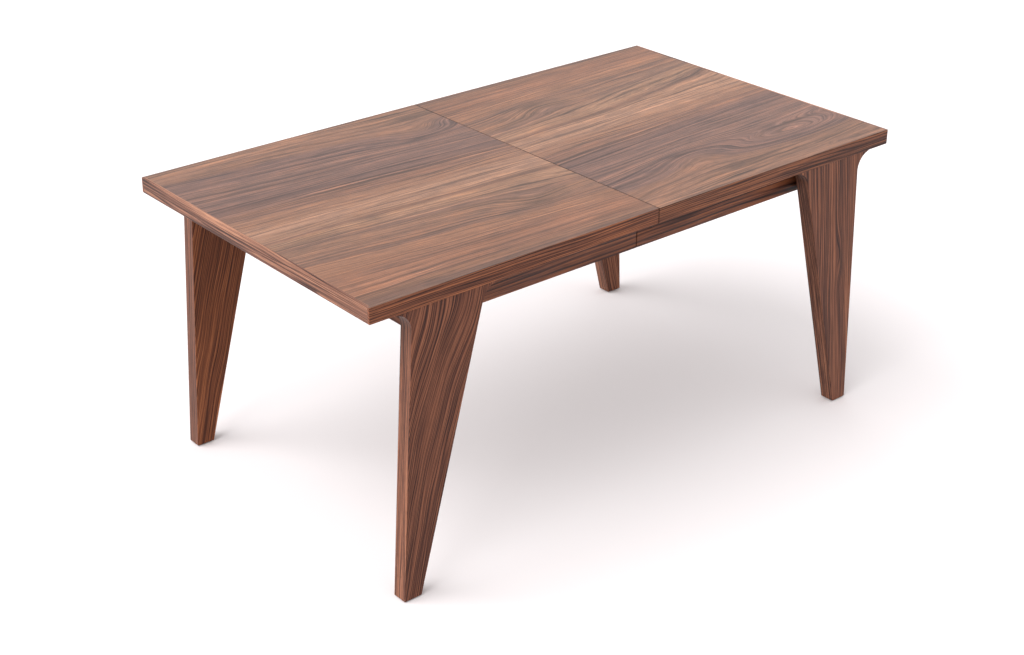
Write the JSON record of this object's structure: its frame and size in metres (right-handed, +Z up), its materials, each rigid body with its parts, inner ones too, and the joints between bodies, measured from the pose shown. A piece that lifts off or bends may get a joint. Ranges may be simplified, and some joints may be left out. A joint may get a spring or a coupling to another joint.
{
  "type": "extendable dining table",
  "caption": "Rectangular walnut dining table whose split top slides apart on geared wooden runners to take a leaf stored underneath.",
  "frame": {"origin": "on the floor under the middle of the closed table", "axes": "+X along the table's length and the way the right half slides, +Y across it towards the back long edge, +Z up"},
  "size_m": [1.6, 0.9, 0.735],
  "materials": {
    "walnut_veneer": "satin lacquer over crown-cut walnut veneer",
    "walnut_lipping": "satin lacquered solid walnut",
    "walnut_solid": "satin lacquered solid walnut",
    "beech": "waxed beech",
    "steel": "zinc plated",
    "brass": "satin",
    "nylon": "moulded",
    "glide": "moulded"
  },
  "bodies": {
    "carriage": {"front_centre_runner": "beech", "back_centre_runner": "beech", "left_leaf_bearer": "beech", "right_leaf_bearer": "beech", "bearer_screws": "steel", "stop_pins": "steel", "leaf_guides": "beech", "pinion_axles": "steel", "leaf_panel": "walnut_veneer", "leaf_edge_lippings": "walnut_lipping", "leaf_joint_lippings": "walnut_lipping", "leaf_pins": "brass"},
    "left_half": {"left_panel": "walnut_veneer", "left_front_lipping": "walnut_lipping", "left_back_lipping": "walnut_lipping", "left_end_lipping": "walnut_lipping", "left_joint_lipping": "walnut_lipping", "left_front_leg": "walnut_solid", "left_back_leg": "walnut_solid", "left_leg_blocks": "walnut_solid", "left_front_apron": "walnut_solid", "left_back_apron": "walnut_solid", "left_end_rail": "walnut_solid", "left_glue_blocks": "beech", "left_front_runner": "beech", "left_back_runner": "beech", "left_racks": "nylon", "left_glides": "glide", "left_leg_bolts": "steel", "left_leg_inserts": "brass", "left_top_screws": "steel", "alignment_pins": "brass", "latch_plates": "steel", "latch_plate_screws": "steel"},
    "right_half": {"right_panel": "walnut_veneer", "right_front_lipping": "walnut_lipping", "right_back_lipping": "walnut_lipping", "right_end_lipping": "walnut_lipping", "right_joint_lipping": "walnut_lipping", "right_front_leg": "walnut_solid", "right_back_leg": "walnut_solid", "right_leg_blocks": "walnut_solid", "right_front_apron": "walnut_solid", "right_back_apron": "walnut_solid", "right_end_rail": "walnut_solid", "right_glue_blocks": "beech", "right_front_runner": "beech", "right_back_runner": "beech", "right_racks": "nylon", "right_glides": "glide", "right_leg_bolts": "steel", "right_leg_inserts": "brass", "right_top_screws": "steel", "latch_keepers": "steel", "latch_keeper_screws": "steel"},
    "front_pinion": {"front_pinion": "nylon"},
    "back_pinion": {"back_pinion": "nylon"},
    "front_latch": {"front_latch_lever": "steel"},
    "back_latch": {"back_latch_lever": "steel"}
  },
  "joints": [
    {"name": "left_slide", "type": "slide", "parent": "carriage", "child": "left_half", "axis": [-1, 0, 0], "range_m": [0, 0.265]},
    {"name": "right_slide", "type": "slide", "parent": "carriage", "child": "right_half", "axis": [1, 0, 0], "range_m": [0, 0.265]},
    {"name": "back_pinion_spin", "type": "hinge", "parent": "carriage", "child": "back_pinion", "pos_m": [0, 0.3121, 0.68], "axis": [0, 0, 1], "range_deg": [0, 950]},
    {"name": "front_pinion_spin", "type": "hinge", "parent": "carriage", "child": "front_pinion", "pos_m": [0, -0.3121, 0.68], "axis": [0, 0, -1], "range_deg": [0, 950]},
    {"name": "front_latch_swing", "type": "hinge", "parent": "left_half", "child": "front_latch", "pos_m": [-0.014, -0.408, 0.6925], "axis": [0, 0, 1], "range_deg": [0, 90]},
    {"name": "back_latch_swing", "type": "hinge", "parent": "left_half", "child": "back_latch", "pos_m": [-0.014, 0.408, 0.6925], "axis": [0, 0, -1], "range_deg": [0, 90]}
  ],
  "couplings": [
    {"joint": "right_slide", "follows": "left_slide", "ratio": 1},
    {"joint": "back_pinion_spin", "follows": "left_slide", "rad_per_m": 62.5},
    {"joint": "front_pinion_spin", "follows": "left_slide", "rad_per_m": 62.5}
  ]
}
